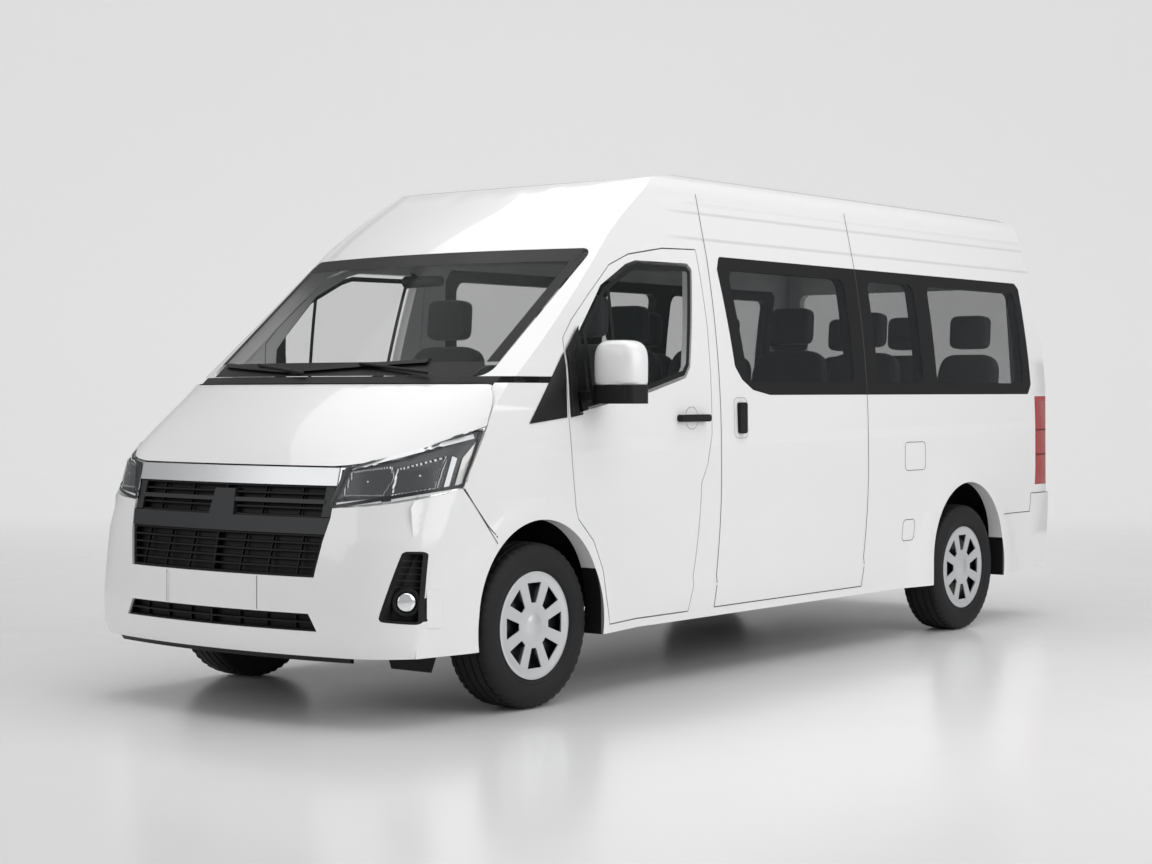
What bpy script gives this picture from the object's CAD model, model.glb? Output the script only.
import math
import bpy
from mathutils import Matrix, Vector
from mathutils.bvhtree import BVHTree


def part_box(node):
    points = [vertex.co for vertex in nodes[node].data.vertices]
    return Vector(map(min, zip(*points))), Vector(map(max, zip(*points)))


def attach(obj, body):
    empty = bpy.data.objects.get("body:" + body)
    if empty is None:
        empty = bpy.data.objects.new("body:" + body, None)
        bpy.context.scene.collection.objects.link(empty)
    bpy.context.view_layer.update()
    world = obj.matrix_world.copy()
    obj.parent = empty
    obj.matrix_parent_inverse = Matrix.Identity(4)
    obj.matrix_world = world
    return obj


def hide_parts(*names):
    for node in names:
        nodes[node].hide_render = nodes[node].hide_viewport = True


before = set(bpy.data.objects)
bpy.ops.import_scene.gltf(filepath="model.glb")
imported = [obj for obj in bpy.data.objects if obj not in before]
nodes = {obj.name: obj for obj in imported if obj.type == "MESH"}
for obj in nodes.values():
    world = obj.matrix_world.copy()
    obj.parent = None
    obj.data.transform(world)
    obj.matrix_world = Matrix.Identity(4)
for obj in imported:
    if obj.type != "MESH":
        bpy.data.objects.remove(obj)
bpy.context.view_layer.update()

# Places taken from the frame: both axles, the height of the wheels' centres, and half the track
front_low, front_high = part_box("tyre_front_left")
rear_low, rear_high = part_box("tyre_rear_left")
front_axle = (front_low.y + front_high.y) / 2
rear_axle = (rear_low.y + rear_high.y) / 2
axle_z = (front_low.z + front_high.z) / 2
track = (front_low.x + front_high.x) / 2

# The two sides of the body, each with the sign of its x
left_and_right = (("left", 1), ("right", -1))

# Radius of the wheel arches' edges, and how far outside the tyre's middle plane the wheel cover's face lies
arch_radius = 0.425
cover_depth = 0.076

# The photograph's camera, found from the wheels and the body: place, yaw, tilt down and focal length
photo_width = 1152
photo_height = 864
camera_place = Vector((6.5941, front_axle - 6.9288, 1.3433))
camera_yaw = math.radians(38.125)
camera_pitch = math.radians(1.038)
focal_px = 2101.34

# Fixed numbers of the materials: coat, noise, the dark stripes of a fluted surface, and darkened parts
coat_rough = 0.04
grain_detail = 3
tint_scale = 3
tint_detail = 4
stripe_bend = 1.5
stripe_dark = (0.02, 0.02, 0.022, 1)
stripe_from = 0.35
stripe_to = 0.75
near_black = (0.012, 0.012, 0.013, 1)


def set_inputs(tree, node, values):
    """Sockets are linked to a node's inputs; numbers and colours are set on the inputs themselves."""
    for label, value in values.items():
        if isinstance(value, bpy.types.NodeSocket):
            tree.links.new(value, node.inputs[label])
        else:
            node.inputs[label].default_value = value


def add_node(tree, kind, values):
    """A new shader node with these inputs."""
    node = tree.nodes.new("ShaderNode" + kind)
    set_inputs(tree, node, values)
    return node


def object_place(tree):
    """The surface's place in object coordinates."""
    return tree.nodes.new("ShaderNodeTexCoord").outputs["Object"]


def object_axes(tree):
    """The same place as sockets named X, Y and Z."""
    return add_node(tree, "SeparateXYZ", {"Vector": object_place(tree)}).outputs


# Materials: each is a Principled surface with its own grain from noise in object coordinates
def material(name, colour, rough, grain, tint, metal=0.0, coat=0.0, alpha=1.0, sheen=0.0, shine=0.5,
             stripes=0.0):
    """grain is (scale, bump strength, bump distance in metres); tint varies the roughness a little."""
    mat = bpy.data.materials.new(name)
    mat.use_nodes = True
    tree = mat.node_tree
    shader = tree.nodes["Principled BSDF"]
    set_inputs(tree, shader, {"Base Color": (*colour, 1), "Roughness": rough, "Metallic": metal,
                              "Alpha": alpha, "Coat Weight": coat, "Coat Roughness": coat_rough,
                              "Sheen Weight": sheen, "Specular IOR Level": shine})
    place = object_place(tree)
    scale, strength, distance = grain
    noise = add_node(tree, "TexNoise", {"Scale": scale, "Detail": grain_detail, "Vector": place})
    bump = add_node(tree, "Bump", {"Strength": strength, "Distance": distance,
                                   "Height": noise.outputs["Fac"]})
    set_inputs(tree, shader, {"Normal": bump.outputs["Normal"]})
    if stripes:
        wave = add_node(tree, "TexWave", {"Scale": stripes, "Distortion": stripe_bend, "Vector": place})
        shades = add_node(tree, "ValToRGB", {"Fac": wave.outputs["Fac"]})
        ends = shades.color_ramp.elements
        ends[0].position = stripe_from
        ends[0].color = stripe_dark
        ends[1].position = stripe_to
        ends[1].color = (*colour, 1)
        set_inputs(tree, shader, {"Base Color": shades.outputs["Color"]})
    cloud = add_node(tree, "TexNoise", {"Scale": tint_scale, "Detail": tint_detail, "Vector": place})
    ramp = add_node(tree, "MapRange", {"To Min": rough * (1 - tint), "To Max": rough * (1 + tint),
                                       "Value": cloud.outputs["Fac"]})
    set_inputs(tree, shader, {"Roughness": ramp.outputs["Result"]})
    return mat


def maths(tree, kind, a, b=None):
    """A Math node's result; a and b are numbers or sockets."""
    node = tree.nodes.new("ShaderNodeMath")
    node.operation = kind
    for socket, value in zip(node.inputs, (a, b)):
        if isinstance(value, (int, float)):
            socket.default_value = value
        elif value is not None:
            tree.links.new(value, socket)
    return node.outputs[0]


def smooth_step(tree, value, low, high, most=1.0):
    """A socket's value led smoothly from 0 at low to most at high."""
    node = add_node(tree, "MapRange", {"Value": value, "From Min": low, "From Max": high,
                                       "To Min": 0.0, "To Max": most})
    node.interpolation_type = "SMOOTHSTEP"
    return node.outputs["Result"]


# Pressed lines fade in over these lengths before and after their first y,
# and between these distances from the middle
fade_before = 0.25
fade_after = 0.05
fade_inside = 0.70
fade_outside = 0.79


def add_creases(mat, rows):
    """Pressed lines along the body side, as bump: the rows' columns are named at the call."""
    tree = mat.node_tree
    shader = tree.nodes["Principled BSDF"]
    axes = object_axes(tree)
    total = None
    for z, rise, half, depth, y_from in rows:
        height = maths(tree, "SUBTRACT", axes["Z"], maths(tree, "MULTIPLY", axes["Y"], rise))
        step = smooth_step(tree, height, z - half, z + half, depth)
        begin = smooth_step(tree, axes["Y"], y_from - fade_before, y_from + fade_after)
        part = maths(tree, "MULTIPLY", step, begin)
        total = part if total is None else maths(tree, "ADD", total, part)
    side = smooth_step(tree, maths(tree, "ABSOLUTE", axes["X"]), fade_inside, fade_outside)
    bump = add_node(tree, "Bump", {"Strength": 1.0, "Distance": 1.0,
                                   "Height": maths(tree, "MULTIPLY", total, side),
                                   "Normal": shader.inputs["Normal"].links[0].from_socket})
    set_inputs(tree, shader, {"Normal": bump.outputs["Normal"]})


paint = material("white_paint", (0.80, 0.80, 0.80), 0.30, (260, 0.03, 0.0004), 0.08, coat=0.7)
# Columns: height, rise per metre rearward, half width, depth, first y
add_creases(paint, [(1.128, 0.009, 0.030, -0.014, -1.9), (2.250, 0.0, 0.014, -0.011, -0.75),
                    (2.205, 0.0, 0.010, 0.007, -0.75), (2.080, 0.0, 0.010, 0.008, -0.75)])


def darken(mat, mask):
    """Mix the base colour towards near-black where mask(tree, axes) is 1."""
    tree = mat.node_tree
    shader = tree.nodes["Principled BSDF"]
    mix = tree.nodes.new("ShaderNodeMix")
    mix.data_type = "RGBA"
    sockets = [socket for socket in mix.inputs if socket.enabled]
    sockets[1].default_value = tuple(shader.inputs["Base Color"].default_value)
    sockets[2].default_value = near_black
    tree.links.new(mask(tree, object_axes(tree)), sockets[0])
    result = [socket for socket in mix.outputs if socket.enabled][0]
    set_inputs(tree, shader, {"Base Color": result})


def arch_mask(tree, axes):
    """One inside the wheel arches' own radius: the returns of the arches are black."""
    total = None
    for axle in (front_axle, rear_axle):
        dy = maths(tree, "SUBTRACT", axes["Y"], axle)
        dz = maths(tree, "SUBTRACT", axes["Z"], axle_z)
        square = maths(tree, "ADD", maths(tree, "MULTIPLY", dy, dy), maths(tree, "MULTIPLY", dz, dz))
        inside = maths(tree, "LESS_THAN", square, arch_radius ** 2)
        total = inside if total is None else maths(tree, "MAXIMUM", total, inside)
    return total


def behind_cover(tree, axes):
    """One deeper than the wheel cover's face."""
    return maths(tree, "LESS_THAN", maths(tree, "ABSOLUTE", axes["X"]), track + cover_depth)


darken(paint, arch_mask)
black_plastic = material("black_plastic", (0.007, 0.007, 0.008), 0.5, (900, 0.25, 0.0004), 0.15, shine=0.25)
grille_black = material("grille_black", (0.004, 0.004, 0.005), 0.5, (700, 0.15, 0.0003), 0.15, shine=0.2)
charcoal = material("charcoal", (0.022, 0.023, 0.025), 0.45, (500, 0.08, 0.0003), 0.1, shine=0.3)
gloss_black = material("gloss_black", (0.007, 0.007, 0.008), 0.45, (60, 0.01, 0.0002), 0.2, shine=0.22)
bright = material("bright_strip", (0.60, 0.61, 0.62), 0.36, (300, 0.03, 0.0002), 0.2, metal=0.8)
reflector = material("reflector", (0.78, 0.79, 0.80), 0.14, (120, 0.02, 0.0002), 0.3, metal=1.0)
silver = material("silver_cover", (0.60, 0.61, 0.62), 0.34, (800, 0.05, 0.0002), 0.15, metal=0.55, coat=0.3)
clear_glass = material("clear_glass", (0.04, 0.05, 0.05), 0.04, (2, 0.01, 0.0002), 0.3, alpha=0.09)
dark_glass = material("dark_glass", (0.02, 0.024, 0.026), 0.04, (2, 0.01, 0.0002), 0.3, alpha=0.27)
lens = material("lamp_lens", (0.30, 0.32, 0.33), 0.05, (8, 0.01, 0.0002), 0.3, alpha=0.10)
red_lens = material("red_lens", (0.36, 0.012, 0.012), 0.16, (90, 0.06, 0.0005), 0.2, coat=0.6)
lamp_dark_red = material("lamp_dark_red", (0.10, 0.006, 0.006), 0.2, (90, 0.05, 0.0004), 0.2)
tyre_rubber = material("tyre_rubber", (0.010, 0.010, 0.011), 0.66, (420, 0.35, 0.0006), 0.15, shine=0.3)
rubber = material("black_rubber", (0.016, 0.016, 0.016), 0.7, (500, 0.3, 0.0005), 0.1)
steel = material("coated_steel", (0.028, 0.028, 0.030), 0.58, (180, 0.3, 0.0008), 0.2)
alloy = material("cast_alloy", (0.32, 0.32, 0.33), 0.5, (240, 0.4, 0.0008), 0.2, metal=0.8)
cloth = material("seat_cloth", (0.036, 0.038, 0.041), 0.88, (1500, 0.5, 0.0008), 0.06, sheen=0.25)
dash_plastic = material("dash_plastic", (0.022, 0.023, 0.025), 0.62, (1100, 0.4, 0.0005), 0.1)
floor_mat = material("floor_covering", (0.05, 0.05, 0.052), 0.85, (700, 0.5, 0.001), 0.05)
seam_dark = material("seam_shadow", (0.06, 0.06, 0.06), 0.8, (400, 0.2, 0.0003), 0.05)

darken(silver, behind_cover)

# Edges sharper than these angles, in degrees, stay sharp when shaded; the paint has the soft one
sharp_crease = 28
soft_crease = 42
weld_distance = 1e-5
finishes = {
    paint: ["hood", "roof", "fenders", "side_left", "side_right", "sliding_door", "door_left", "door_right",
            "mirror_cap_left", "mirror_cap_right", "tailgate", "bumper_front", "bumper_rear"],
    black_plastic: ["cowl", "mirror_left", "mirror_right", "handle_left", "handle_right", "sliding_handle",
                    "fog_housings", "arch_liners", "wipers"],
    grille_black: ["grille"],
    charcoal: ["grille_bars"],
    gloss_black: ["window_bands"],
    bright: ["grille_strip"],
    reflector: ["headlamp_housings"],
    clear_glass: ["windscreen", "door_glass_left", "door_glass_right"],
    dark_glass: ["side_glass", "tailgate_glass"],
    lens: ["headlamp_lenses"],
    red_lens: ["tail_lamps"],
    rubber: ["mud_flaps"],
    silver: [f"wheel_{end}_{side}" for end in ("front", "rear") for side in ("left", "right")],
    tyre_rubber: [f"tyre_{end}_{side}" for end in ("front", "rear") for side in ("left", "right")],
    steel: ["chassis", "front_suspension", "knuckle_left", "knuckle_right", "rear_axle", "seat_frames"],
    alloy: ["engine"],
    floor_mat: ["floor"],
    dash_plastic: ["dashboard", "steering_wheel"],
    cloth: ["front_seats", "rear_seats"],
}
for finish, names in finishes.items():
    for name in names:
        node = nodes[name]
        node.data.materials.clear()
        node.data.materials.append(finish)
        node.data.polygons.foreach_set("use_smooth", [True] * len(node.data.polygons))
        weld = node.modifiers.new("weld", "WELD")
        weld.merge_threshold = weld_distance
        split = node.modifiers.new("edges", "EDGE_SPLIT")
        split.split_angle = math.radians(soft_crease if finish is paint else sharp_crease)


# Helpers for new pieces
def link_object(name, data):
    """A new object, linked to the scene."""
    obj = bpy.data.objects.new(name, data)
    bpy.context.scene.collection.objects.link(obj)
    return obj


def mesh_object(name, verts, faces, mat, smooth=True):
    """A mesh of one material in the shared frame."""
    mesh = bpy.data.meshes.new(name)
    mesh.from_pydata(verts, [], faces)
    mesh.update()
    mesh.materials.append(mat)
    if smooth:
        mesh.polygons.foreach_set("use_smooth", [True] * len(mesh.polygons))
    return link_object(name, mesh)


def piece(name, verts, faces, body, mat, smooth=True):
    """A mesh in the shared frame, riding on a CAD body."""
    obj = mesh_object(name, verts, faces, mat, smooth)
    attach(obj, body)
    return obj


def surface_of(*names):
    """A tree for casting rays onto these CAD nodes."""
    verts, faces = [], []
    for name in names:
        mesh = nodes[name].data
        first = len(verts)
        verts += [v.co.copy() for v in mesh.vertices]
        faces += [[first + i for i in poly.vertices] for poly in mesh.polygons]
    return BVHTree.FromPolygons(verts, faces)


# Rays at the body start this far from the origin: at a side, and at the front or the rear
beyond_side = 1.5
beyond_end = 6


def hit(tree, start, direction):
    """The first point on a surface along a ray, and its normal, or None and None."""
    return tree.ray_cast(Vector(start), Vector(direction))[:2]


def hit_side(tree, side, y, z):
    """The body side's point at (y, z), seen square from that side."""
    return hit(tree, (side * beyond_side, y, z), (-side, 0, 0))[0]


def hit_front(tree, x, z):
    """The front's point at (x, z), seen square from the front."""
    return hit(tree, (x, -beyond_end, z), (0, 1, 0))[0]


# Steps of lines laid on the body's side and on the windscreen, and the widest gap that a side line spans
side_step = 0.02
screen_step = 0.03
line_gap = 0.06


def strip_points(path, step, width, meet):
    """Pairs of points on both sides of a path of 2-D corners; meet lays a point on the surface."""
    verts = []
    for (a0, b0), (a1, b1) in zip(path, path[1:]):
        length = math.hypot(a1 - a0, b1 - b0)
        steps = max(1, int(length / step))
        for i in range(steps + 1):
            a = a0 + (a1 - a0) * i / steps
            b = b0 + (b1 - b0) * i / steps
            pair = [meet(a - sign * (b1 - b0) / length * width / 2,
                         b + sign * (a1 - a0) / length * width / 2) for sign in (1, -1)]
            if all(pair):
                verts += pair
    return verts


def side_line(name, tree, points, side, body, width=0.005, mat=None, closed=False, lift=0.0006):
    """A narrow strip that follows the body side along (y, z) points: a panel joint seen in the paint."""
    def meet(y, z):
        point = hit_side(tree, side, y, z)
        return point and point + Vector((side * lift, 0, 0))

    path = points + points[:1] if closed else points
    verts = strip_points(path, side_step, width, meet)
    faces = [(i, i + 1, i + 3, i + 2) for i in range(0, len(verts) - 2, 2)
             if (verts[i] - verts[i + 2]).length < line_gap]
    return piece(name, verts, faces, body, mat or seam_dark)


def turned_faces(count, segments):
    """Faces of a profile of count points that is turned in so many segments."""
    faces = []
    for k in range(segments):
        for i in range(count - 1):
            a, b = k * count + i, (k + 1) % segments * count + i
            faces.append((a, a + 1, b + 1, b))
    return faces


def ring_faces(rings, segments):
    """Faces between rings of so many points each."""
    faces = []
    for i in range(rings - 1):
        for k in range(segments):
            a, b = i * segments + k, i * segments + (k + 1) % segments
            faces.append((a, a + segments, b + segments, b))
    return faces


def lathe(profile, centre, side, segments, dip):
    """Points turned about the wheel axis. profile rows are (along the axle outward, radius)."""
    verts = []
    for k in range(segments):
        angle = 2 * math.pi * k / segments
        for i, (along, radius) in enumerate(profile):
            r = radius - dip(i, k)
            verts.append((centre[0] + side * along, centre[1] + r * math.cos(angle),
                          centre[2] + r * math.sin(angle)))
    faces = turned_faces(len(profile), segments)
    return verts, faces if side > 0 else [face[::-1] for face in faces]


# Tyres: bead, raised rim guard, rounded sidewall, and tread blocks cut across the shoulders.
# Columns: place along the axle from the tyre's middle plane, radius
tyre_profile = [(0.088, 0.217), (0.090, 0.226), (0.096, 0.236), (0.104, 0.244), (0.1055, 0.247),
                (0.1045, 0.252), (0.111, 0.268), (0.1140, 0.286), (0.1135, 0.302), (0.1105, 0.318),
                (0.1065, 0.330), (0.1035, 0.3375), (0.0985, 0.3450), (0.0915, 0.3510), (0.0790, 0.3536),
                (0.0680, 0.3543), (0.0660, 0.3543), (0.0650, 0.3465), (0.0590, 0.3465), (0.0580, 0.3550),
                (0.0260, 0.3556), (0.0250, 0.3480), (0.0180, 0.3480), (0.0170, 0.3559), (0.0, 0.3560)]
tyre_profile = tyre_profile + [(-along, radius) for along, radius in tyre_profile[-2::-1]]
shoulder_from = 0.064
shoulder_to = 0.1040
shoulder_radius = 0.336
rib_from = 0.057
rib_to = 0.0585
shoulder_rows = [i for i, (along, radius) in enumerate(tyre_profile)
                 if shoulder_from < abs(along) < shoulder_to and radius > shoulder_radius]
rib_rows = [i for i, (along, radius) in enumerate(tyre_profile) if rib_from < abs(along) < rib_to]
shoulder_cut = 0.0055
rib_cut = 0.003
tread_segments = 150
tread_crease = 32


def tread_dip(i, k):
    """Depth of the cross cuts: every third segment on the shoulders, every fourth at the ribs."""
    if i in shoulder_rows and k % 3 == 0:
        return shoulder_cut
    if i in rib_rows and k % 4 == 1:
        return rib_cut
    return 0


for end, axle_y in (("front", front_axle), ("rear", rear_axle)):
    for side_name, side in left_and_right:
        place = f"{end}_{side_name}"
        centre = (side * track, axle_y, axle_z)
        verts, faces = lathe(tyre_profile, centre, side, tread_segments, tread_dip)
        tyre = piece("tread_" + place, verts, faces, "wheel_" + place, tyre_rubber)
        split = tyre.modifiers.new("edges", "EDGE_SPLIT")
        split.split_angle = math.radians(tread_crease)
        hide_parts("tyre_" + place)


# Seats: crowned cushions whose sides pull in, with sewn channels. The pulls are shares of the cushion's size
cushion_cells = 18
cushion_power = 5.0
end_pull = 0.035
side_pull = 0.02
waist_pull = 0.02
flat_edge = 0.99
sewn_width = 0.035
sewn_depth = 0.07
sewn_drop = 0.015


def cushion(name, centre, size, lean, channels=(), crown=0.06):
    """size is (width, depth, height); lean tips the piece backwards by an angle in radians.
    channels are places across the width, from -1 to 1, where the cover is sewn down."""
    count = cushion_cells
    verts, faces, index = [], [], {}

    def corner(u, v, w):
        length = sum(abs(c) ** cushion_power for c in (u, v, w)) ** (1 / cushion_power)
        u, v, w = u / length, v / length, w / length
        pull = 1 - end_pull * (1 - w * w) - side_pull * (1 - v * v)
        swell = 1 + crown * (1 - u * u) * (1 - max(abs(v), abs(w)) ** 2 if abs(v) < flat_edge else 1)
        x = u * pull * size[0] / 2
        y = v * swell * size[1] / 2
        z = w * (1 - waist_pull * (1 - u * u)) * size[2] / 2
        sewn = sum(math.exp(-((u - c) / sewn_width) ** 2) for c in channels)
        x, y, z = x, y * (1 - sewn_depth * sewn), z * (1 - sewn_drop * sewn)
        y, z = y * math.cos(lean) + z * math.sin(lean), z * math.cos(lean) - y * math.sin(lean)
        return (centre[0] + x, centre[1] + y, centre[2] + z)

    def vertex(key):
        if key not in index:
            index[key] = len(verts)
            verts.append(corner(*[2 * k / count - 1 for k in key]))
        return index[key]

    for axis in range(3):
        for level in (0, count):
            for i in range(count):
                for j in range(count):
                    ring = []
                    for di, dj in ((0, 0), (1, 0), (1, 1), (0, 1)):
                        key = [i + di, j + dj]
                        key.insert(axis, level)
                        ring.append(vertex(tuple(key)))
                    flip = (level == 0) != (axis == 1)
                    faces.append(ring[::-1] if flip else ring)
    obj = piece(name, verts, faces, "body", cloth)
    return obj


# Seat rows, metres from the front axle.
# Columns: node, foot of the backrest, cushion length, half width, centres across
seat_rows = [("front_seats", 0.80, 0.43, 0.240, (-0.440, 0.420)),
             ("rear_seats", 1.88, 0.48, 0.240, (-0.620, -0.130, 0.400)),
             ("rear_seats", 2.68, 0.48, 0.240, (-0.620, -0.130, 0.400)),
             ("rear_seats", 3.48, 0.48, 0.240, (-0.620, -0.130, 0.400)),
             ("rear_seats", 4.30, 0.48, 0.205, (-0.640, -0.213, 0.213, 0.640))]
seat_low = 0.900
seat_top = 1.020
back_top = 1.590
rest_top = 1.815
back_thick = 0.120
back_lean = 0.150
seat_gap = 0.014
seat_sewn = (-0.62, 0.62)
back_sewn = (-0.6, 0.6)
rest_width = 0.256
rest_thick = 0.098
rest_tilt = 0.08
rest_crown = 0.12
for row, (node, foot, length, half, centres) in enumerate(seat_rows):
    for place, x in enumerate(centres):
        tag = f"{row}_{place}"
        foot_y = front_axle + foot
        width = 2 * half - seat_gap
        cushion("cushion_" + tag, (x, foot_y - length / 2 + 0.01, (seat_low + seat_top) / 2 + 0.004),
                (width, length, seat_top - seat_low + 0.01), 0.0, channels=seat_sewn)
        lean = math.atan2(back_lean, back_top - seat_top)
        back = cushion("backrest_" + tag,
                       (x, foot_y + back_lean / 2 + back_thick / 2, (seat_top + back_top) / 2 - 0.03),
                       (width, back_thick, back_top - seat_top + 0.06), lean, channels=back_sewn)
        cushion("headrest_" + tag, (x, foot_y + back_lean + 0.055, (back_top + 0.02 + rest_top) / 2),
                (rest_width, rest_thick, rest_top - back_top - 0.022), rest_tilt, crown=rest_crown)
        if row in (0, 1) and place == 0:
            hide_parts(node)

# Panel joints along the sides. Points are (y from the front axle, z) in metres
left_wall = surface_of("side_left", "sliding_door", "window_bands", "roof", "fenders", "bumper_front",
                       "bumper_rear", "side_glass")
right_wall = surface_of("side_right", "window_bands", "roof", "fenders", "bumper_front", "bumper_rear",
                        "side_glass")
slide_from = 1.352
slide_to = 2.727
slide_low = 0.327
slide_high = 2.30
# Columns: name, points, signs of the sides
joints = [
    ("slide_front_joint", [(slide_from, slide_high), (slide_from, slide_low)], (1,)),
    ("slide_rear_joint", [(slide_to, slide_high), (slide_to, slide_low)], (1,)),
    ("slide_foot_joint", [(slide_from, slide_low), (slide_to, slide_low)], (1,)),
    ("panel_front_joint", [(slide_from, slide_high), (slide_from, slide_low)], (-1,)),
    ("panel_rear_joint", [(slide_to, slide_high), (slide_to, slide_low)], (-1,)),
    ("bumper_joint", [(-0.508, 0.958), (-0.300, 0.749)], (1, -1)),
    ("rear_bumper_joint", [(4.280, 0.640), (4.652, 0.640), (4.652, 0.750), (4.880, 0.750)], (1, -1)),
]
for name, points, signs in joints:
    for side in signs:
        tree = left_wall if side > 0 else right_wall
        path = [(front_axle + y, z) for y, z in points]
        side_line(f"{name}_{'left' if side > 0 else 'right'}", tree, path, side, "body")


def rounded(y0, y1, z0, z1, radius):
    """A rounded rectangle as (y, z) points."""
    points = []
    for cy, cz, start in ((y1 - radius, z1 - radius, 0), (y0 + radius, z1 - radius, 90),
                          (y0 + radius, z0 + radius, 180), (y1 - radius, z0 + radius, 270)):
        for step in range(7):
            angle = math.radians(start + 15 * step)
            points.append((cy + radius * math.cos(angle), cz + radius * math.sin(angle)))
    return points


# Flaps on the left side. Columns: name, first and last y from the front axle, lowest and highest z
flaps = [("fuel_flap", 3.120, 3.345, 0.928, 1.081), ("filler_flap", 3.120, 3.249, 0.545, 0.660)]
flap_radius = 0.028
flap_line = 0.0035
for name, y0, y1, z0, z1 in flaps:
    outline = rounded(front_axle + y0, front_axle + y1, z0, z1, flap_radius)
    side_line(name + "_joint", left_wall, outline, 1, "body", width=flap_line, closed=True)

# Outline of the shallow recess round the sliding door's handle and each door handle
recess = material("recess_shadow", (0.45, 0.45, 0.45), 0.5, (300, 0.05, 0.0003), 0.1)
recess_line = 0.004
slide_recess_y = 0.028
slide_recess_z = 0.022
slide_recess_radius = 0.03
handle_recess_radius = 0.052
low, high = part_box("sliding_handle")
outline = rounded(low.y - slide_recess_y, high.y + slide_recess_y, low.z - slide_recess_z,
                  high.z + slide_recess_z, slide_recess_radius)
side_line("slide_recess", left_wall, outline, 1, "body", width=recess_line, closed=True, mat=recess)
for side_name, side in left_and_right:
    low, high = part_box("handle_" + side_name)
    centre_y = (low.y + high.y) / 2
    centre_z = (low.z + high.z) / 2
    turns = [math.radians(a) for a in range(0, 360, 10)]
    outline = [(centre_y + handle_recess_radius * math.cos(a), centre_z + handle_recess_radius * math.sin(a))
               for a in turns]
    side_line("handle_recess_" + side_name, surface_of("door_" + side_name), outline, side,
              "door_" + side_name, width=recess_line, closed=True, mat=recess)

# Rays through pixels of the photograph, and strips and patches laid on what they meet.
# A ray that falls into a gap takes the surface seen gap_span pixels away, if that is gap_depth nearer
gap_span = 2.2
gap_depth = 0.012
pixel_step = 4
patch_steps = 6
level = math.cos(camera_pitch)
forward = Vector((-math.sin(camera_yaw) * level, math.cos(camera_yaw) * level, -math.sin(camera_pitch)))
rightward = Vector((math.cos(camera_yaw), math.sin(camera_yaw), 0))
upward = rightward.cross(forward)


def ray_through(px, py):
    """The unit direction from the camera through a pixel of the photograph."""
    across = rightward * (px - photo_width / 2) / focal_px
    direction = forward + across - upward * (py - photo_height / 2) / focal_px
    return direction.normalized()


def at_pixel(tree, px, py):
    """The point of these CAD nodes seen at a photo pixel, and its outward normal; it spans narrow gaps."""
    direction = ray_through(px, py)
    best, facing = None, None
    for dx, dy in ((0, 0), (gap_span, 0), (-gap_span, 0), (0, gap_span), (0, -gap_span)):
        point, normal = hit(tree, camera_place, ray_through(px + dx, py + dy))
        if point:
            distance = (point - camera_place).length
            if best is None or distance < best - gap_depth:
                best, facing = distance, normal
    if best is None:
        return None, None
    if facing.dot(direction) > 0:
        facing = -facing
    return camera_place + direction * best, facing


def grid_faces(cells):
    """Faces of a square grid of points, so many cells each way."""
    wide = cells + 1
    return [(wide * i + k, wide * (i + 1) + k, wide * (i + 1) + k + 1, wide * i + k + 1)
            for i in range(cells) for k in range(cells)]


def both_sides(name, verts, faces, mat, bodies=("body", "body")):
    """The piece on the left, and its mirror image on the right."""
    made = [piece(name + "_left", verts, faces, bodies[0], mat)]
    flipped = [(-v[0], v[1], v[2]) for v in verts]
    made.append(piece(name + "_right", flipped, [f[::-1] for f in faces], bodies[1], mat))
    return made


def pixel_strip(name, tree, pixels, width, mat, lift=0.0012, closed=False, twin=True):
    """A flat strip along a line of photo pixels."""
    path = pixels + pixels[:1] if closed else pixels
    points = []
    for (x0, y0), (x1, y1) in zip(path, path[1:]):
        steps = max(1, int(math.hypot(x1 - x0, y1 - y0) / pixel_step))
        for i in range(steps + (0 if closed else 1)):
            point, normal = at_pixel(tree, x0 + (x1 - x0) * i / steps, y0 + (y1 - y0) * i / steps)
            if point and (not points or (point - points[-1][0]).length > 1e-4):
                points.append((point, normal))
    verts, faces = [], []
    count = len(points)
    for i, (point, normal) in enumerate(points):
        before = points[i - 1][0] if i or closed else point
        after = points[(i + 1) % count][0] if i + 1 < count or closed else point
        across = (after - before).cross(normal).normalized() * width / 2
        verts += [tuple(point + normal * lift + across), tuple(point + normal * lift - across)]
    last = count if closed else count - 1
    for i in range(last):
        a, b = 2 * i, 2 * ((i + 1) % count)
        faces.append((a, a + 1, b + 1, b))
    if twin:
        return both_sides(name, verts, faces, mat)
    return [piece(name, verts, faces, "body", mat)]


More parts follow.
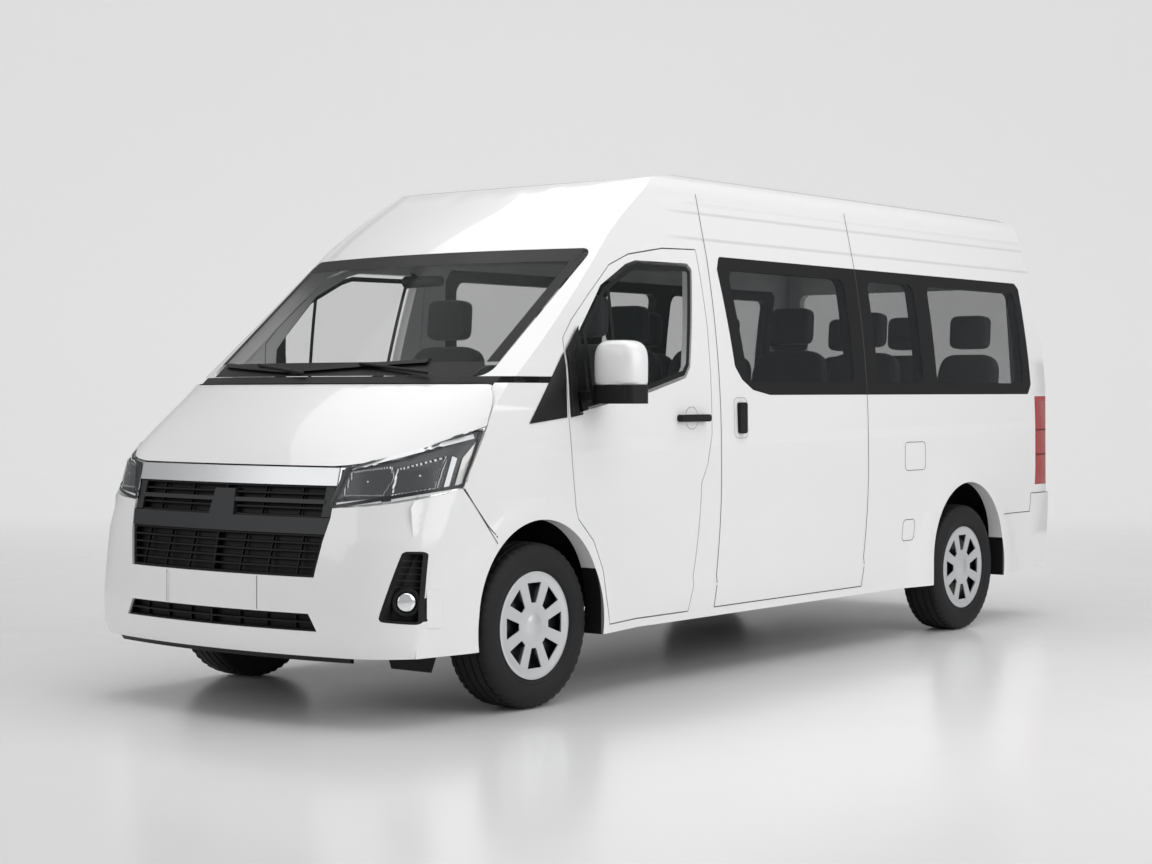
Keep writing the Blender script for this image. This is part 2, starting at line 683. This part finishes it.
def pixel_patch(name, tree, corners, mat, bodies=("body", "body"), lift=0.0012, dish=0.0, flute=0.0):
    """A patch on both sides, its outline at photo pixels; dish sinks its middle, and flute ripples it."""
    outline = []
    rings = 6
    for (x0, y0), (x1, y1) in zip(corners, corners[1:] + corners[:1]):
        outline += [(x0 + (x1 - x0) * i / patch_steps, y0 + (y1 - y0) * i / patch_steps)
                    for i in range(patch_steps)]
    cx = sum(p[0] for p in outline) / len(outline)
    cy = sum(p[1] for p in outline) / len(outline)
    verts, faces = [], []
    middle, inward = at_pixel(tree, cx, cy)
    for ring in range(rings):
        share = 1 - ring / rings
        for x, y in outline:
            point, normal = at_pixel(tree, cx + (x - cx) * share, cy + (y - cy) * share)
            if not point:
                point, normal = middle, inward
            ripple = flute if len(verts) % 2 else -flute
            raised = lift - dish * (1 - share ** 2) + ripple * math.sin(math.pi * share)
            verts.append(tuple(point + normal * raised))
    verts.append(tuple(middle + inward * (lift - dish)))
    count = len(outline)
    for ring in range(rings - 1):
        for i in range(count):
            a, b = ring * count + i, ring * count + (i + 1) % count
            faces.append((a, b, b + count, a + count))
    for i in range(count):
        faces.append(((rings - 1) * count + i, (rings - 1) * count + (i + 1) % count, len(verts) - 1))
    return both_sides(name, verts, faces, mat, bodies)


rod_sides = 12


def rod(name, start, end, radius, body, mat):
    """A round bar between two points with rounded ends."""
    start, end = Vector(start), Vector(end)
    length = (end - start).length
    along = (end - start).normalized()
    side = along.orthogonal().normalized()
    other = along.cross(side)
    rings = [(0, 0.3), (0.004, 0.8), (0.012, 1), (length - 0.012, 0.8), (length, 0.3)]
    verts, faces = [], []
    for t, share in rings:
        for k in range(rod_sides):
            angle = 2 * math.pi * k / rod_sides
            around = side * math.cos(angle) + other * math.sin(angle)
            verts.append(tuple(start + along * t + around * radius * share))
    for i in range(len(rings) - 1):
        for k in range(rod_sides):
            a, b = i * rod_sides + k, i * rod_sides + (k + 1) % rod_sides
            faces.append((a, b, b + rod_sides, a + rod_sides))
    faces += [tuple(range(rod_sides))[::-1], tuple(len(verts) - rod_sides + k for k in range(rod_sides))]
    return piece(name, verts, faces, body, mat)


# Headlamps: dark floor and rim, two fluted bowls with bulbs, bright light guides and an indicator
lamp_face = surface_of("headlamp_lenses")
lamp_back = material("lamp_back", (0.014, 0.015, 0.016), 0.35, (300, 0.05, 0.0003), 0.2)
bowl_chrome = material("bowl_chrome", (0.80, 0.81, 0.82), 0.2, (60, 0.05, 0.0004), 0.3,
                       metal=0.6, stripes=34)
guide_white = material("light_guide", (0.86, 0.87, 0.88), 0.22, (200, 0.03, 0.0002), 0.2, coat=0.4)
turn_clear = material("indicator", (0.55, 0.54, 0.53), 0.25, (220, 0.15, 0.0005), 0.2, metal=0.4)
floor_pixels = [(329.5, 507.5), (346, 469), (484, 428.5), (463, 487.5)]
rim_pixels = [(329.5, 507.5), (346.5, 469.5), (482.5, 429.5), (462.5, 486)]
turn_pixels = [(455, 486), (463, 458), (477, 441), (468, 482)]
rim_width = 0.014
pixel_patch("lamp_floor", lamp_face, floor_pixels, lamp_back, lift=-0.010)
pixel_strip("lamp_rim", lamp_face, rim_pixels, rim_width, lamp_back, closed=True, lift=0.0009)
# Columns: name, outline and bulb as pixels of the photograph
bowls = [("inner", [(341, 496), (351.5, 471.5), (392, 465.5), (395.5, 477), (383, 496)], (367, 482)),
         ("outer", [(389.5, 496), (397.5, 468.5), (448.5, 455.5), (438, 489)], (419, 476))]
bulb_axis = Vector((0.45, -0.89, 0))
bulb_back = 0.034
bulb_front = 0.010
bulb_radius = 0.011
for name, corners, middle in bowls:
    pixel_patch("bowl_" + name, lamp_face, corners, bowl_chrome, lift=-0.004, dish=0.034, flute=0.0030)
    bulb, facing = at_pixel(lamp_face, *middle)
    for side_name, side in left_and_right:
        start = bulb - bulb_axis * bulb_back
        end = bulb - bulb_axis * bulb_front
        rod(f"bulb_{name}_{side_name}", (side * start.x, start.y, start.z), (side * end.x, end.y, end.z),
            bulb_radius, "body", guide_white)
# Columns: name, ends as pixels of the photograph, width
light_guides = [("low", [(336, 505), (381, 500.5)], 0.020), ("mid", [(391, 500), (452, 489.5)], 0.016),
                ("side", [(446, 489), (455, 457)], 0.022), ("top", [(352, 468), (474, 436)], 0.020)]
for name, pixels, width in light_guides:
    pixel_strip("light_guide_" + name, lamp_face, pixels, width, guide_white, lift=-0.002)
pixel_patch("indicator", lamp_face, turn_pixels, turn_clear, lift=-0.003, flute=0.0008)

# Grille: ribs behind the slats, a charcoal bar and cheeks. The heights are where the front's curve is taken
bar_face = surface_of("grille_bars")
nose_face = surface_of("bumper_front")
front_slope = 0.27
bar_z = 0.81
intake_top = 0.49


def front_y(x, z):
    """The front face's place at a height, from the broad bar that follows the same curve."""
    point = hit_front(bar_face, x, bar_z)
    return (point.y if point else 0) + front_slope * (z - bar_z)


def intake_y(x, z):
    """The bumper's front just above the low intake."""
    return hit_front(nose_face, x, intake_top).y


bar_step = 0.04


def front_bar(name, x0, x1, z0, z1, mat, set_back=0.0, thick=0.012, face=front_y):
    """A bar across the grille between two x and two heights, bent to the front's curve."""
    steps = max(1, int(abs(x1 - x0) / bar_step))
    verts, faces = [], []
    for i in range(steps + 1):
        x = x0 + (x1 - x0) * i / steps
        for z, back in ((z0, 0), (z1, 0), (z1, thick), (z0, thick)):
            verts.append((x, face(x, z) + set_back + back, z))
    for i in range(steps):
        for k in range(4):
            a, b = 4 * i + k, 4 * i + (k + 1) % 4
            faces.append((a, a + 4, b + 4, b))
    faces += [(0, 1, 2, 3), tuple(4 * steps + k for k in (3, 2, 1, 0))]
    return piece(name, verts, faces, "body", mat, smooth=False)


rib_half = 0.002
low_rib_pitch = 0.155
intake_rib_pitch = 0.15
for k in range(-3, 4):
    front_bar(f"low_rib_{k + 3}", k * low_rib_pitch - rib_half, k * low_rib_pitch + rib_half, 0.616, 0.768,
              grille_black, set_back=0.018)
    front_bar(f"intake_rib_{k + 3}", k * intake_rib_pitch - rib_half, k * intake_rib_pitch + rib_half,
              0.396, 0.451, grille_black, set_back=0.028, face=intake_y)
for side_name, side in left_and_right:
    front_bar("upper_bar_" + side_name, side * 0.066, side * 0.555, 0.898, 0.915, charcoal, set_back=0.001)
    for k, x in enumerate((0.22, 0.42)):
        front_bar(f"upper_rib_{side_name}_{k}", side * x - rib_half, side * x + rib_half, 0.85, 0.963,
                  grille_black, set_back=0.018)
    front_bar("grille_cheek_" + side_name, side * 0.548, side * 0.592, 0.846, 0.968, charcoal,
              set_back=0.004)

# Joints beside the blank plate area and at the bumper's corners, from pixels of the photograph
plate_joints = [("plate_joint_a", [(256.8, 575.5), (256.8, 609)]),
                ("plate_joint_b", [(167, 569), (167, 601)])]
for name, pixels in plate_joints:
    pixel_strip(name, nose_face, pixels, 0.003, seam_dark, twin=False)
corner_joint = [(464.5, 488.5), (498, 544)]
pixel_strip("bumper_corner_joint", surface_of("fenders", "bumper_front", "side_left"), corner_joint, 0.004,
            seam_dark)

# Fog lamps: bezel, bowl and lens in the corner openings
fog_place = Vector((0.905, front_axle - 0.775, 0.512))
fog_inset = 0.012
fog_turn = math.radians(40)
fog_segments = 40


def fog_dome(radius, depth):
    """A domed profile; its columns are place along the lamp's axis and radius."""
    rows = ((0.2, 1.0), (0.32, 0.97), (0.42, 0.8), (0.47, 0.5))
    return [(depth * along, radius * share) for along, share in rows] + [(depth * 0.5, 0.0001)]


def fog_part(name, side, profile, mat):
    """A profile turned about the lamp's axis, which points forward and outward."""
    verts = []
    for k in range(fog_segments):
        angle = 2 * math.pi * k / fog_segments
        for along, r in profile:
            u, w = r * math.cos(angle), r * math.sin(angle)
            x = along * math.cos(fog_turn) + u * math.sin(fog_turn)
            y = -along * math.sin(fog_turn) + u * math.cos(fog_turn)
            verts.append((side * (fog_place.x - fog_inset + x), fog_place.y + fog_inset + y,
                          fog_place.z + w))
    piece(name, verts, turned_faces(len(profile), fog_segments), "body", mat)


bezel_radius = 0.060
bezel = [(-0.01, bezel_radius), (0.012, bezel_radius), (0.016, bezel_radius * 0.9),
         (0.014, bezel_radius * 0.72), (0.0, bezel_radius * 0.66)]
for side_name, side in left_and_right:
    fog_part("fog_bezel_" + side_name, side, bezel, gloss_black)
    fog_part("fog_bowl_" + side_name, side, fog_dome(0.040, 0.046), reflector)
    fog_part("fog_glass_" + side_name, side, fog_dome(0.036, 0.040), lens)

# Louvres of the corner openings, a painted piece beside each, and the deflector before each front wheel
fog_face = surface_of("fog_housings", "bumper_front", "fenders")
louvre_top = 561
louvre_pitch = 6.6
louvre_shift = 2.2
louvre_left = 402.5
louvre_right = 421.5
louvre_fall = 0.6
for k in range(5):
    y = louvre_top + louvre_pitch * k
    louvre = [(louvre_left - louvre_shift * k, y - louvre_fall), (louvre_right, y + louvre_fall)]
    pixel_strip(f"louvre_{k}", fog_face, louvre, 0.0045, charcoal, lift=0.002)
corner_face = surface_of("bumper_front", "fenders")
corner_pixels = ((426.8, 589.5), (443.0, 590.5), (442.0, 627.5), (426.8, 628.5))
corner_bulge = Vector((0.004, -0.0035, 0))
cells = 6
corners = [at_pixel(corner_face, x, y)[0] for x, y in corner_pixels]
verts = []
for i in range(cells + 1):
    for k in range(cells + 1):
        u, v = k / cells, i / cells
        top = corners[0].lerp(corners[1], u)
        low = corners[3].lerp(corners[2], u)
        raised = corner_bulge * (0.35 + 0.65 * math.sin(math.pi * v) ** 0.5)
        verts.append(tuple(top.lerp(low, v) + raised))
both_sides("fog_corner", verts, grid_faces(cells), paint)
flap_y = front_axle - 0.50
flap_thick = 0.006
flap_taper = 0.03
flap_pixels = ((386, 668), (436, 655))
low_corner, high_corner = [
    camera_place + ray_through(x, y) * ((flap_y - camera_place.y) / ray_through(x, y).y)
    for x, y in flap_pixels]
for side_name, side in left_and_right:
    x0, x1 = side * low_corner.x, side * high_corner.x
    z0, z1 = low_corner.z, high_corner.z
    taper = side * flap_taper
    outline = [(x0, z1), (x0 + taper, z0), (x1 - taper, z0), (x1, z1)]
    verts = [(x, y, z) for y in (flap_y, flap_y + flap_thick) for x, z in outline]
    faces = [(0, 1, 2, 3), (7, 6, 5, 4), (0, 4, 5, 1), (1, 5, 6, 2), (2, 6, 7, 3), (3, 7, 4, 0)]
    piece("wheel_deflector_" + side_name, verts, faces, "body", black_plastic, smooth=False)

# Windscreen and door glass borders, and the black sail in front of each door
screen_face = surface_of("windscreen")


def front_strip(name, tree, points, width, mat, lift=0.0008):
    """A strip on the screen along (x, z) points seen from the front."""
    def meet(x, z):
        point = hit_front(tree, x, z)
        return point and point + Vector((0, -lift, lift))

    verts = strip_points(points, screen_step, width, meet)
    faces = [(i, i + 2, i + 3, i + 1) for i in range(0, len(verts) - 2, 2)]
    return piece(name, verts, faces, "body", mat)


screen_low, screen_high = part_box("windscreen")
edge = 0.032
side_edge = 0.03
border_width = 0.06
side_border_width = 0.05
half_low = screen_high.x - edge
for name, z in (("screen_border_low", screen_low.z + edge), ("screen_border_top", screen_high.z - edge)):
    front_strip(name, screen_face, [(-half_low, z), (half_low, z)], border_width, gloss_black)
for side_name, side in left_and_right:
    ends = [(side * half_low, screen_low.z + side_edge), (side * half_low, screen_high.z - side_edge)]
    front_strip("screen_border_" + side_name, screen_face, ends, side_border_width, gloss_black)

# Outline of the door glass: y from the front axle, and z; its last point is its first
door_glass_edge = [(0.345, 1.290), (0.316, 1.620), (0.493, 1.812), (0.700, 1.916), (0.775, 1.938),
                   (1.165, 1.942), (1.195, 1.920), (1.106, 1.476), (1.068, 1.430), (0.790, 1.366),
                   (0.345, 1.290)]
ring_step = 0.03
ring_width = 0.024
sharpest_mitre = 0.4


def side_ring(name, tree, outline, side, body, width, mat, lift=0.0008):
    """A flat ring inside a closed outline of (y, z) points on the side, mitred at its corners."""
    points = outline[:-1]
    count = len(points)
    inner = []
    for i, (y, z) in enumerate(points):
        (ya, za), (yb, zb) = points[i - 1], points[(i + 1) % count]
        first, second = Vector((y - ya, z - za)).normalized(), Vector((yb - y, zb - z)).normalized()
        a, b = Vector((first.y, -first.x)), Vector((second.y, -second.x))
        mitre = (a + b).normalized()
        inner.append(Vector((y, z)) + mitre * width / max(sharpest_mitre, mitre.dot(a)))
    rows = []
    for i in range(count):
        start, end = Vector(points[i]), Vector(points[(i + 1) % count])
        near, far = inner[i], inner[(i + 1) % count]
        steps = max(1, int((end - start).length / ring_step))
        rows += [(start.lerp(end, k / steps), near.lerp(far, k / steps)) for k in range(steps)]
    verts = []
    for pair in rows:
        for place in pair:
            point = hit_side(tree, side, place.x, place.y)
            if point is None:
                middle = pair[0].lerp(pair[1], 0.6)
                point = hit_side(tree, side, middle.x, middle.y)
                point = Vector((point.x, place.x, place.y))
            verts.append(tuple(point + Vector((side * lift, 0, 0))))
    total = len(rows)
    faces = [(2 * i, 2 * i + 1, 2 * ((i + 1) % total) + 1, 2 * ((i + 1) % total)) for i in range(total)]
    return piece(name, verts, faces, body, mat)


glass_bar_y = front_axle + 0.535
glass_bar = [(glass_bar_y, 1.82), (glass_bar_y, 1.33)]
glass_bar_width = 0.022
glass_outline = [(front_axle + y, z) for y, z in door_glass_edge]
for side_name, side in left_and_right:
    face = surface_of("door_glass_" + side_name)
    door = "door_" + side_name
    side_ring("door_glass_border_" + side_name, face, glass_outline, side, door, ring_width, gloss_black)
    side_line("door_glass_bar_" + side_name, face, glass_bar, side, door, width=glass_bar_width,
              mat=gloss_black)
sail_face = surface_of("fenders", "side_left", "cowl", "hood", "roof", "bumper_front", "windscreen")
sail_pixels = [(529, 424), (563.0, 352), (565.5, 366), (567.0, 417.5)]
sail_foot, sail_tip, sail_high, sail_low = [at_pixel(sail_face, *pixel)[0] for pixel in sail_pixels]
bulge_low = 0.004
bulge_more = 0.006
verts = []
count = 8
for i in range(count + 1):
    start = sail_foot.lerp(sail_tip, i / count)
    end = sail_low.lerp(sail_high, i / count) if i < count else sail_tip.lerp(sail_high, 0.9)
    for k in range(count + 1):
        rise = math.sin(math.pi * i / count) ** 0.5
        run = math.sin(math.pi * k / count) ** 0.5
        bulge = bulge_low + bulge_more * rise * run
        verts.append(tuple(start.lerp(end, k / count) + Vector((bulge, -0.3 * bulge, 0))))
both_sides("sail", verts, grid_faces(count), gloss_black)
door_sail_pixels = [(565, 351), (578, 325), (580, 360), (583, 414.5), (570.5, 417.5), (567.5, 365)]
pixel_patch("door_sail", surface_of("door_left", "door_glass_left"), door_sail_pixels, gloss_black,
            bodies=("door_left", "door_right"), lift=0.003)

# Mirror caps: rounded shells within the CAD cap's box, flat below, and the glass on the rear of each
shell_rings = 26
shell_segments = 48
shell_power = 4.2
flat_below = 0.55
top_narrow = 0.16
nose_taper = 0.10
glass_inset = 0.030
glass_below = 0.05
glass_top = 0.03
glass_radius = 0.03
for side_name, side in left_and_right:
    low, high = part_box("mirror_cap_" + side_name)
    middle = (low + high) / 2
    half = (high - low) / 2
    verts = []
    for i in range(shell_rings + 1):
        rise = math.pi * (0.5 - i / shell_rings)
        for k in range(shell_segments):
            turn = 2 * math.pi * k / shell_segments
            parts = (math.cos(rise) * math.cos(turn), math.cos(rise) * math.sin(turn), math.sin(rise))
            size = sum(abs(p) ** shell_power for p in parts) ** (1 / shell_power)
            x, y, z = (p / size for p in parts)
            if z < -flat_below:
                z = -1.0
            elif z < 0:
                z = z / flat_below
            narrow = 1 - top_narrow * max(0, z) ** 2
            taper = 1 - nose_taper * max(0, -y)
            place = (middle.x + half.x * x * narrow * taper, middle.y + half.y * y, middle.z + half.z * z)
            verts.append(place)
    faces = ring_faces(shell_rings + 1, shell_segments)
    cap = piece("mirror_shell_" + side_name, verts, faces, "door_" + side_name, paint)
    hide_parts("mirror_cap_" + side_name)
for side_name, side in left_and_right:
    low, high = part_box("mirror_cap_" + side_name)
    glass_y = high.y + 0.0005
    outline = rounded(low.x + glass_inset, high.x - glass_inset, low.z - glass_below, high.z - glass_top,
                      glass_radius)
    verts = [(x, glass_y, z) for x, z in outline]
    piece("mirror_glass_" + side_name, verts, [tuple(range(len(verts)))[::-1]], "door_" + side_name,
          reflector, smooth=False)

# The lip under the front bumper follows the bumper's curve
lip_half = 0.70
lip_steps = 40
lip_curve_z = 0.30
lip_back = 0.018
lip_low = 0.262
lip_high = 0.290
lip = []
for i in range(lip_steps + 1):
    x = -lip_half + 2 * lip_half * i / lip_steps
    lip.append((x, hit_front(nose_face, x, lip_curve_z).y + lip_back))
lip_ring = ((lip_low, 0.02), (lip_high, 0.0), (lip_high, 0.03), (lip_low, 0.03))
verts = [(x, y + back, z) for x, y in lip for z, back in lip_ring]
faces = [(4 * i + k, 4 * i + 4 + k, 4 * i + 4 + (k + 1) % 4, 4 * i + (k + 1) % 4)
         for i in range(lip_steps) for k in range(4)]
piece("bumper_lip", verts, faces, "body", black_plastic, smooth=False)

# Wiper arms from the cowl to the blades. Columns: x at the cowl, x at the blade
wiper_ends = ((0.62, 0.24), (-0.02, -0.42))
wiper_foot_z = 1.425
wiper_tip_z = 1.468
wiper_lift = Vector((0, -0.022, 0.008))
arm_radius = 0.008
for k, (x0, x1) in enumerate(wiper_ends):
    arm_foot = hit_front(screen_face, x0, wiper_foot_z) + wiper_lift
    arm_tip = hit_front(screen_face, x1, wiper_tip_z) + wiper_lift
    rod(f"wiper_arm_{k}", arm_foot, arm_tip, arm_radius, "body", black_plastic)

# Interior mirror on a stem behind the screen
stem = hit_front(screen_face, 0, 1.90) + Vector((0, 0.012, 0))
stem_end = Vector((0, 0.07, -0.03))
mirror_ends = (Vector((-0.12, 0.085, -0.035)), Vector((0.12, 0.085, -0.035)))
mirror_radius = 0.03
rod("interior_mirror_stem", stem, stem + stem_end, arm_radius, "body", black_plastic)
rod("interior_mirror", stem + mirror_ends[0], stem + mirror_ends[1], mirror_radius, "body", black_plastic)

# Rear: bars of the tail lamps, and the grip, blank plate area and high stop lamp on the tailgate
tail_face = surface_of("tail_lamps")
low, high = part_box("tail_lamps")
bar_shares = (0.34, 0.62)
bar_inset = 0.01
for side_name, side in left_and_right:
    for k, share in enumerate(bar_shares):
        z = low.z + (high.z - low.z) * share
        strip = [(low.y + bar_inset, z), (high.y - bar_inset, z)]
        side_line(f"tail_lamp_bar_{side_name}_{k}", tail_face, strip, side, "body", width=0.010,
                  mat=lamp_dark_red)
gate_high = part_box("tailgate")[1]
gate_face = surface_of("tailgate", "tailgate_glass")


def rear_panel(name, x0, x1, z0, z1, mat, lift, thick):
    """A flat raised panel on the tailgate, with rounded corners, following the face's slope."""
    outline = rounded(x0, x1, z0, z1, min(0.02, (z1 - z0) * 0.45))
    verts = []
    for depth in (lift, lift + thick):
        for x, z in outline:
            point = hit(gate_face, (x, beyond_end, z), (0, -1, 0))[0]
            verts.append((x, (point.y if point else gate_high.y) + depth, z))
    count = len(outline)
    faces = [tuple(range(count, 2 * count)), tuple(range(count))[::-1]]
    faces += [(i, (i + 1) % count, count + (i + 1) % count, count + i) for i in range(count)]
    return piece(name, verts, faces, "tailgate", mat, smooth=False)


lamp_low = gate_high.z - 0.075
lamp_high = gate_high.z - 0.050
# Columns: name, half width, lowest and highest z, material, lift, thickness
rear_panels = [("tailgate_grip", 0.20, 1.085, 1.120, black_plastic, 0.004, 0.010),
               ("plate_recess", 0.27, 0.905, 1.045, recess, 0.0003, 0.001),
               ("high_stop_lamp", 0.15, lamp_low, lamp_high, red_lens, 0.0005, 0.004)]
for name, half, z0, z1, mat, lift, thick in rear_panels:
    rear_panel(name, -half, half, z0, z1, mat, lift, thick)

# Floor and backdrop: seen by the camera directly, it glows more the further back it is, up to glow_most
stage_mat = material("studio", (0.79, 0.79, 0.79), 0.22, (3, 0.01, 0.0005), 0.1)
stage_tree = stage_mat.node_tree
far = 12.0
glow_from = 1.0
glow_most = 0.32
ramp = add_node(stage_tree, "MapRange", {"Value": object_axes(stage_tree)["Y"], "From Min": glow_from,
                                         "From Max": far, "To Min": 0.0, "To Max": glow_most})
seen = stage_tree.nodes.new("ShaderNodeLightPath").outputs["Is Camera Ray"]
gain = maths(stage_tree, "MULTIPLY", seen, ramp.outputs["Result"])
set_inputs(stage_tree, stage_tree.nodes["Principled BSDF"], {"Emission Color": (1, 1, 1, 1),
                                                             "Emission Strength": gain})
stage_half = 80.0
stage_top = 30.0
sweep_radius = 6
sweep = [(-stage_half, 0.0), (far, 0.0)]
for degrees in range(6, 91, 6):
    a = math.radians(degrees)
    sweep.append((far + sweep_radius * math.sin(a), sweep_radius - sweep_radius * math.cos(a)))
sweep.append((far + sweep_radius, stage_top))
verts = [(x, y, z) for y, z in sweep for x in (-stage_half, stage_half)]
faces = [(i, i + 1, i + 3, i + 2) for i in range(0, len(verts) - 2, 2)]
backdrop = mesh_object("studio_floor", verts, faces, stage_mat)
backdrop.rotation_euler = (0, 0, camera_yaw)


def area_light(name, place, target, size, power):
    """A rectangular lamp at a place, aimed at a target."""
    data = bpy.data.lights.new(name, "AREA")
    data.shape = "RECTANGLE"
    data.size, data.size_y = size
    data.energy = power
    light = link_object(name, data)
    light.location = place
    light.rotation_euler = (Vector(target) - Vector(place)).to_track_quat("-Z", "Y").to_euler()


# Soft studio light. Columns: name, place, target, size, power
lamps = [("top_light", (0.5, 0, 7.5), (0, 0, 0), (9, 12), 470),
         ("side_light", (9, 0.5, 4.0), (0, 0.5, 1.2), (9, 5), 290),
         ("front_light", (-4, -11, 4.5), (0, -2, 1.2), (8, 5), 175)]
for row in lamps:
    area_light(*row)
world_grey = (0.9, 0.9, 0.9, 1)
world_strength = 0.56
world = bpy.data.worlds.new("studio")
bpy.context.scene.world = world
world.use_nodes = True
world.node_tree.nodes["Background"].inputs["Color"].default_value = world_grey
world.node_tree.nodes["Background"].inputs["Strength"].default_value = world_strength

# Camera at the photograph's place
sensor_width = 36
clip_end = 200
camera = link_object("camera", bpy.data.cameras.new("camera"))
camera.location = camera_place
camera.rotation_euler = (math.radians(90) - camera_pitch, 0, camera_yaw)
camera.data.lens = focal_px * sensor_width / photo_width
camera.data.sensor_width = sensor_width
camera.data.clip_end = clip_end
bpy.context.scene.camera = camera
bpy.context.scene.view_settings.view_transform = "Standard"
